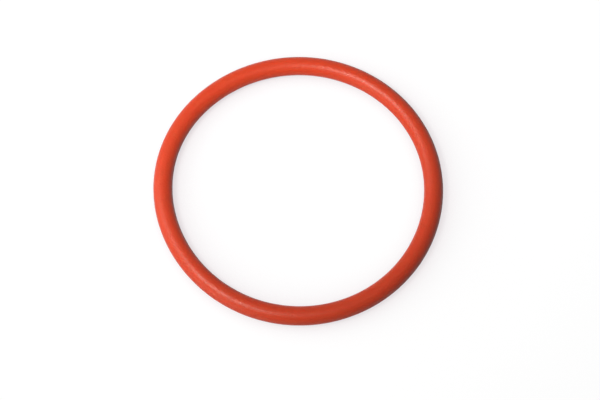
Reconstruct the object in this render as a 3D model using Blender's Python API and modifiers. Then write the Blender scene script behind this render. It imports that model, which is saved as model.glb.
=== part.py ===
"""A silicone o-ring, moulded in one piece, lying flat. Metres, +Z up.

The origin is the ring's centre: on its axis, in the plane where the two mould halves met.
"""

import math

import bpy

# The inch series' 1-7/8 inch size: what a gland drawing gives for an o-ring is its bore and its section.
INSIDE_DIAMETER = 0.04722
SECTION_DIAMETER = 0.00353

# The mould's two halves meet at the ring's widest and narrowest circles. Each leaves a trimmed ridge there.
RIDGE_HEIGHT = 0.00005
RIDGE_BASE_WIDTH = 0.00014
RIDGE_CREST_WIDTH = 0.00006

# The soft section seats on a flat surface, above or below, on a narrow band and not on a line.
SEAT_BAND_WIDTH = 0.00034

# How finely the round stretches are stepped.
TURN_STEPS = 128
ARC_STEPS = 7

SILICONE_COLOUR = (0.62, 0.062, 0.026, 1.0)
SILICONE_ROUGHNESS = 0.45

QUARTER_TURN = math.pi / 2


def clear_scene():
    for old in list(bpy.data.objects):
        bpy.data.objects.remove(old, do_unlink=True)


def silicone():
    """Matt oxide-red silicone rubber."""
    material = bpy.data.materials.new("silicone")
    material.diffuse_color = SILICONE_COLOUR
    material.use_nodes = True
    shader = material.node_tree.nodes["Principled BSDF"]
    shader.inputs["Base Color"].default_value = SILICONE_COLOUR
    shader.inputs["Roughness"].default_value = SILICONE_ROUGHNESS
    shader.inputs["Metallic"].default_value = 0.0
    return material


def quarter_of_section():
    """One quarter of the section, about its own centre, from the seat band at the top to the ridge on the outside.

    Points are (out, up). The round stretch runs from the band's edge to the ridge's foot, and both lie on the circle.
    """
    radius = SECTION_DIAMETER / 2
    band_edge = QUARTER_TURN - math.asin(SEAT_BAND_WIDTH / 2 / radius)
    ridge_foot = math.asin(RIDGE_BASE_WIDTH / 2 / radius)
    points = []
    for step in range(ARC_STEPS + 1):
        angle = band_edge + (ridge_foot - band_edge) * step / ARC_STEPS
        points.append((radius * math.cos(angle), radius * math.sin(angle)))
    points.append((radius + RIDGE_HEIGHT, RIDGE_CREST_WIDTH / 2))
    return points


def whole_section():
    """The closed outline of the section, down its outer side and up its inner side."""
    upper_outer = quarter_of_section()
    lower_outer = [(out, -up) for out, up in reversed(upper_outer)]
    outer_side = upper_outer + lower_outer
    inner_side = [(-out, -up) for out, up in outer_side]
    return outer_side + inner_side


def o_ring(collection, material):
    """The section's outline, set at the ring's mean radius and turned once about the Z axis."""
    mean_radius = (INSIDE_DIAMETER + SECTION_DIAMETER) / 2
    outline = [(mean_radius + out, 0.0, up) for out, up in whole_section()]
    edges = [(i, (i + 1) % len(outline)) for i in range(len(outline))]

    mesh = bpy.data.meshes.new("o_ring")
    mesh.from_pydata(outline, edges, [])
    mesh.materials.append(material)
    ring = bpy.data.objects.new("o_ring", mesh)
    collection.objects.link(ring)

    turn = ring.modifiers.new("turn", "SCREW")
    turn.axis = "Z"
    turn.angle = math.tau
    turn.steps = turn.render_steps = TURN_STEPS
    turn.use_smooth_shade = True
    return ring


def main():
    clear_scene()
    collection = bpy.data.collections.new("o_ring")
    bpy.context.scene.collection.children.link(collection)
    o_ring(collection, silicone())


main()
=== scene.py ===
"""A silicone o-ring lying on a white surface in soft studio light. Metres, +Z up."""

import math

import bpy
from mathutils import Matrix, Vector, noise


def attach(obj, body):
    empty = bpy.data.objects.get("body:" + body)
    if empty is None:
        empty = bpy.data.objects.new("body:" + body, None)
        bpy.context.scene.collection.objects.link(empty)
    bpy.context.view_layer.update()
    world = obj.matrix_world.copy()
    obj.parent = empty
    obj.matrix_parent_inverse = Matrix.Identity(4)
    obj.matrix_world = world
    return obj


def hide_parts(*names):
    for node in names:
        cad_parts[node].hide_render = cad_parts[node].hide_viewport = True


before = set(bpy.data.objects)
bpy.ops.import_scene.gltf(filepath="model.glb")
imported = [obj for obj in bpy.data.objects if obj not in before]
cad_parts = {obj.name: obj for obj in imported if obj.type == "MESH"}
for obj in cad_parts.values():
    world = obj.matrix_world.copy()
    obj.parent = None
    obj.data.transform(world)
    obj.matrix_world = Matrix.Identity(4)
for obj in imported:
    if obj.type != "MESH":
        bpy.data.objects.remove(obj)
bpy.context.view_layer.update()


# O-ring. Compression-moulded in one piece from oxide-red silicone rubber between two mould halves, then
# trimmed where they met. Nothing holds it: it lies loose, and being soft it has relaxed slightly out of
# round.

RING_RADIUS = 0.025375
SECTION_RADIUS = 0.001765
SEAT_HEIGHT = 0.0017568

# Share of the ring's radius by which it is out of round: waves round the ring, cosine part, sine part.
RELAXED_SHAPE = (
    (3, -0.0025, 0.0024),
    (4, 0.0006, -0.0008),
    (5, -0.0002, 0.0005),
)

RIDGE_HEIGHT = 0.000035
RIDGE_HALF_ANGLE = math.radians(2.2)
RIDGE_CREST_SHARE = 0.45
TRIM_VARIATION = 0.45
TRIM_PATCHES_PER_METRE = 700

# The moulded skin is never quite even: long low waves in the form itself, and a finer grain over them.
SKIN_WAVE_LENGTH = 0.0009
SKIN_WAVE_HEIGHT = 0.000012
SKIN_WAVE_FRACTAL = (0.7, 2.1, 3)
GRAIN_SIZE = 0.00035
GRAIN_DEPTH = 0.00005

STEPS_ROUND_RING = 1200
STEPS_ROUND_SECTION = 72

OXIDE_RED = (0.69, 0.0510, 0.0105, 1.0)
OXIDE_RED_PALE = (0.73, 0.0553, 0.0115, 1.0)
PALE_PATCH_SIZE = 0.0011
DULL_PATCH_SIZE = 0.0007
GLOSSIEST, DULLEST = 0.37, 0.50


def relaxed_radius(turn):
    share = sum(a * math.cos(waves * turn) + b * math.sin(waves * turn) for waves, a, b in RELAXED_SHAPE)
    return RING_RADIUS * (1 + share)


def section_angles():
    """Angles round the section, with extra steps at the two parting ridges so that they come out crisp."""
    angles = [math.tau * step / STEPS_ROUND_SECTION for step in range(STEPS_ROUND_SECTION)]
    for ridge in (0.0, math.pi):
        for offset in (-1.0, -RIDGE_CREST_SHARE, RIDGE_CREST_SHARE, 1.0):
            angles.append((ridge + offset * RIDGE_HALF_ANGLE) % math.tau)
    return sorted(angles)


def ridge_share(angle):
    """1 on the crest of a parting ridge, 0 away from both."""
    from_ridge = abs((angle + math.pi / 2) % math.pi - math.pi / 2)
    flank = (1 - RIDGE_CREST_SHARE) * RIDGE_HALF_ANGLE
    return max(0.0, min(1.0, (RIDGE_HALF_ANGLE - from_ridge) / flank))


def moulded_ring():
    angles = section_angles()
    points = []
    for step in range(STEPS_ROUND_RING):
        turn = math.tau * step / STEPS_ROUND_RING
        outwards = Vector((math.cos(turn), math.sin(turn), 0.0))
        middle = outwards * relaxed_radius(turn)
        trim = 1 - TRIM_VARIATION * (0.5 + 0.5 * noise.noise(middle * TRIM_PATCHES_PER_METRE))
        for angle in angles:
            normal = outwards * math.cos(angle) + Vector((0.0, 0.0, math.sin(angle)))
            smooth = middle + normal * SECTION_RADIUS
            wave = SKIN_WAVE_HEIGHT * noise.fractal(smooth / SKIN_WAVE_LENGTH, *SKIN_WAVE_FRACTAL)
            point = smooth + normal * (wave + RIDGE_HEIGHT * trim * ridge_share(angle))
            point.z = max(-SEAT_HEIGHT, min(SEAT_HEIGHT, point.z))
            points.append(point)
    round_section = len(angles)
    faces = []
    for step in range(STEPS_ROUND_RING):
        here = step * round_section
        ahead = (step + 1) % STEPS_ROUND_RING * round_section
        for i in range(round_section):
            j = (i + 1) % round_section
            faces.append((here + i, ahead + i, ahead + j, here + j))
    mesh = bpy.data.meshes.new("silicone_o_ring")
    mesh.from_pydata(points, [], faces)
    mesh.polygons.foreach_set("use_smooth", [True] * len(faces))
    mesh.update()
    return mesh


def silicone():
    """Matt skin with a fine grain, some patches a little paler and others a little duller."""
    material = bpy.data.materials.new("oxide_red_silicone")
    material.use_nodes = True
    nodes, links = material.node_tree.nodes, material.node_tree.links
    skin = nodes["Principled BSDF"]
    skin.inputs["Diffuse Roughness"].default_value = 0.25
    skin.inputs["Subsurface Weight"].default_value = 0.28
    skin.inputs["Subsurface Scale"].default_value = 0.00020
    skin.inputs["Subsurface Radius"].default_value = (1.0, 0.31, 0.16)
    skin.inputs["IOR"].default_value = 1.5
    skin.inputs["Specular IOR Level"].default_value = 0.42
    skin.inputs["Specular Tint"].default_value = (1.0, 1.0, 0.89, 1.0)
    skin.inputs["Sheen Weight"].default_value = 0.04
    skin.inputs["Sheen Roughness"].default_value = 0.15
    place = nodes.new("ShaderNodeTexCoord")

    def speckle(size, detail, roughness=0.5):
        node = nodes.new("ShaderNodeTexNoise")
        node.inputs["Scale"].default_value = 1 / size
        node.inputs["Detail"].default_value = detail
        node.inputs["Roughness"].default_value = roughness
        links.new(place.outputs["Object"], node.inputs["Vector"])
        return node.outputs["Fac"]

    def spread(source, low, high):
        """Stretches the middle of the noise's range, where nearly all of it lies, to low and high."""
        node = nodes.new("ShaderNodeMapRange")
        node.inputs["From Min"].default_value = 0.3
        node.inputs["From Max"].default_value = 0.7
        node.inputs["To Min"].default_value = low
        node.inputs["To Max"].default_value = high
        links.new(source, node.inputs["Value"])
        return node.outputs["Result"]

    pigment = nodes.new("ShaderNodeMix")
    pigment.data_type = "RGBA"
    pigment.inputs["A"].default_value = OXIDE_RED
    pigment.inputs["B"].default_value = OXIDE_RED_PALE
    links.new(spread(speckle(PALE_PATCH_SIZE, 4.0, 0.65), 0.0, 1.0), pigment.inputs["Factor"])
    links.new(pigment.outputs["Result"], skin.inputs["Base Color"])

    links.new(spread(speckle(DULL_PATCH_SIZE, 3.0, 0.6), GLOSSIEST, DULLEST), skin.inputs["Roughness"])

    grain = nodes.new("ShaderNodeBump")
    grain.inputs["Strength"].default_value = 1.0
    grain.inputs["Distance"].default_value = GRAIN_DEPTH
    links.new(speckle(GRAIN_SIZE, 1.0), grain.inputs["Height"])
    links.new(grain.outputs["Normal"], skin.inputs["Normal"])
    return material


ring = bpy.data.objects.new("silicone_o_ring", moulded_ring())
ring.data.materials.append(silicone())
bpy.context.scene.collection.objects.link(ring)
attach(ring, "root")
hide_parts("o_ring")


# Table top. A plain white board, matt, that the ring lies on. Seen directly, mirrored or through glass
# it is the studio's white, and it keeps the ring's shadow, partly cast by the lamps and partly painted
# into that white.

TABLE_HALF_WIDTH = 1.2

# The board's own colour is a mid grey, which sets how much lamplight it throws back onto the ring.
BOARD_GREY = (0.35, 0.35, 0.35, 1.0)

# What is seen of the board: an emitted white, a share of the lamplight, and a painted shadow beside the
# ring, where the emitted white is darkened by ambient occlusion, leaned as though lit from the left and a
# little from the front.
STUDIO_WHITE = 0.944
LAMPLIGHT_SHARE = 0.352
PAINTED_SHADOW_TINT = (0.682, 0.604, 0.632, 1.0)
PAINTED_SHADOW_REACH = 0.02
PAINTED_SHADOW_LEAN = (-0.304, -0.133, 1.0)


def seen_as_background(nodes, links):
    """1 where the camera sees it, directly, mirrored or through glass, and 0 as light on the ring."""
    path = nodes.new("ShaderNodeLightPath")
    seen = path.outputs["Is Camera Ray"]
    for other in ("Is Glossy Ray", "Is Transmission Ray"):
        either = nodes.new("ShaderNodeMath")
        either.operation = "MAXIMUM"
        links.new(seen, either.inputs[0])
        links.new(path.outputs[other], either.inputs[1])
        seen = either.outputs["Value"]
    return seen


def white_board():
    material = bpy.data.materials.new("white_board")
    material.use_nodes = True
    nodes, links = material.node_tree.nodes, material.node_tree.links
    nodes.clear()
    seen = seen_as_background(nodes, links)

    lamplit = nodes.new("ShaderNodeMix")
    lamplit.data_type = "RGBA"
    lamplit.inputs["A"].default_value = BOARD_GREY
    lamplit.inputs["B"].default_value = [level * LAMPLIGHT_SHARE for level in BOARD_GREY[:3]] + [1.0]
    links.new(seen, lamplit.inputs["Factor"])
    board = nodes.new("ShaderNodeBsdfDiffuse")
    links.new(lamplit.outputs["Result"], board.inputs["Color"])

    # Painted shadow: the emitted white is darkened and tinted near the ring by ambient occlusion with a
    # leaned normal.
    lean = nodes.new("ShaderNodeCombineXYZ")
    for axis, share in zip("XYZ", PAINTED_SHADOW_LEAN):
        lean.inputs[axis].default_value = share
    painted_shadow_occlusion = nodes.new("ShaderNodeAmbientOcclusion")
    painted_shadow_occlusion.samples = 4
    painted_shadow_occlusion.inputs["Distance"].default_value = PAINTED_SHADOW_REACH
    links.new(lean.outputs["Vector"], painted_shadow_occlusion.inputs["Normal"])
    painted_shadow_colour = nodes.new("ShaderNodeMix")
    painted_shadow_colour.data_type = "RGBA"
    painted_shadow_colour.inputs["A"].default_value = PAINTED_SHADOW_TINT
    painted_shadow_colour.inputs["B"].default_value = (1.0, 1.0, 1.0, 1.0)
    links.new(painted_shadow_occlusion.outputs["AO"], painted_shadow_colour.inputs["Factor"])
    strength = nodes.new("ShaderNodeMath")
    strength.operation = "MULTIPLY"
    strength.inputs[1].default_value = STUDIO_WHITE
    links.new(seen, strength.inputs[0])
    white = nodes.new("ShaderNodeEmission")
    links.new(strength.outputs["Value"], white.inputs["Strength"])
    links.new(painted_shadow_colour.outputs["Result"], white.inputs["Color"])

    both = nodes.new("ShaderNodeAddShader")
    links.new(board.outputs["BSDF"], both.inputs[0])
    links.new(white.outputs["Emission"], both.inputs[1])
    links.new(both.outputs["Shader"], nodes.new("ShaderNodeOutputMaterial").inputs["Surface"])
    return material


square = ((-1, -1), (1, -1), (1, 1), (-1, 1))
corners = [(x * TABLE_HALF_WIDTH, y * TABLE_HALF_WIDTH, -SEAT_HEIGHT) for x, y in square]
table_mesh = bpy.data.meshes.new("table_top")
table_mesh.from_pydata(corners, [], [(0, 1, 2, 3)])
table_mesh.materials.append(white_board())
table_top = bpy.data.objects.new("table_top", table_mesh)
bpy.context.scene.collection.objects.link(table_top)


# Studio light. Three soft boxes, each with a grid in front that narrows its beam, and each aimed a
# little off the ring: one high on the near left, and two that stand on the table, in front and on the
# left. The room itself is plain white and only seen, since the soft boxes give all the light.

LAMP_DISTANCE = 0.30
BEAM_RADIUS = 0.16
GRID_SPREAD = 2 * math.atan(BEAM_RADIUS / LAMP_DISTANCE)


def soft_box(name, elevation, azimuth, width, height, aim, power):
    """A soft box with a grid, round where its height is 0, at an elevation and azimuth in degrees."""
    lamp = bpy.data.lights.new(name, "AREA")
    lamp.shape = "RECTANGLE" if height else "DISK"
    lamp.size = width
    lamp.size_y = height
    lamp.spread = GRID_SPREAD
    lamp.energy = power
    holder = bpy.data.objects.new(name, lamp)
    level = LAMP_DISTANCE * math.cos(math.radians(elevation))
    holder.location = (
        level * math.cos(math.radians(azimuth)),
        level * math.sin(math.radians(azimuth)),
        LAMP_DISTANCE * math.sin(math.radians(elevation)),
    )
    holder.rotation_euler = (holder.location - Vector((*aim, 0.0))).to_track_quat("Z", "Y").to_euler()
    holder.visible_camera = False
    bpy.context.scene.collection.objects.link(holder)


# Elevation, azimuth, width, height, the point it is aimed at, and power, all fitted to the photo.
soft_box("soft_box_high", 62.0, 212.9, 0.060, 0.0, (-0.0177, 0.0705), 0.1066)
soft_box("soft_box_front", 5.8, 252.7, 0.398, 0.061, (0.1100, -0.1095), 0.0365)
soft_box("soft_box_left", 23.4, 195.0, 0.300, 0.239, (-0.0746, -0.1100), 0.0840)

room = bpy.data.worlds.new("white_room")
room.use_nodes = True
white = room.node_tree.nodes["Background"]
white.inputs["Color"].default_value = (1.0, 1.0, 1.0, 1.0)
links = room.node_tree.links
links.new(seen_as_background(room.node_tree.nodes, links), white.inputs["Strength"])
bpy.context.scene.world = room
bpy.context.scene.view_settings.view_transform = "Standard"


# Camera. A long lens, steep over the near side of the ring, held very slightly off level.

CAMERA_DISTANCE = 0.33401
CAMERA_ELEVATION = math.radians(67.194)
CAMERA_ROLL = math.radians(-2.119)
LENS_MM = 106.826
LOOKED_AT = Vector((0.000321, -0.002610, 0.0))

lens = bpy.data.cameras.new("camera")
lens.lens = LENS_MM
lens.sensor_width = 36.0
lens.clip_start = 0.01
camera = bpy.data.objects.new("camera", lens)
camera.location.y = -CAMERA_DISTANCE * math.cos(CAMERA_ELEVATION)
camera.location.z = CAMERA_DISTANCE * math.sin(CAMERA_ELEVATION)
level_view = (LOOKED_AT - camera.location).to_track_quat("-Z", "Y")
camera.rotation_mode = "QUATERNION"
camera.rotation_quaternion = level_view @ Matrix.Rotation(-CAMERA_ROLL, 4, "Z").to_quaternion()
bpy.context.scene.collection.objects.link(camera)
bpy.context.scene.camera = camera
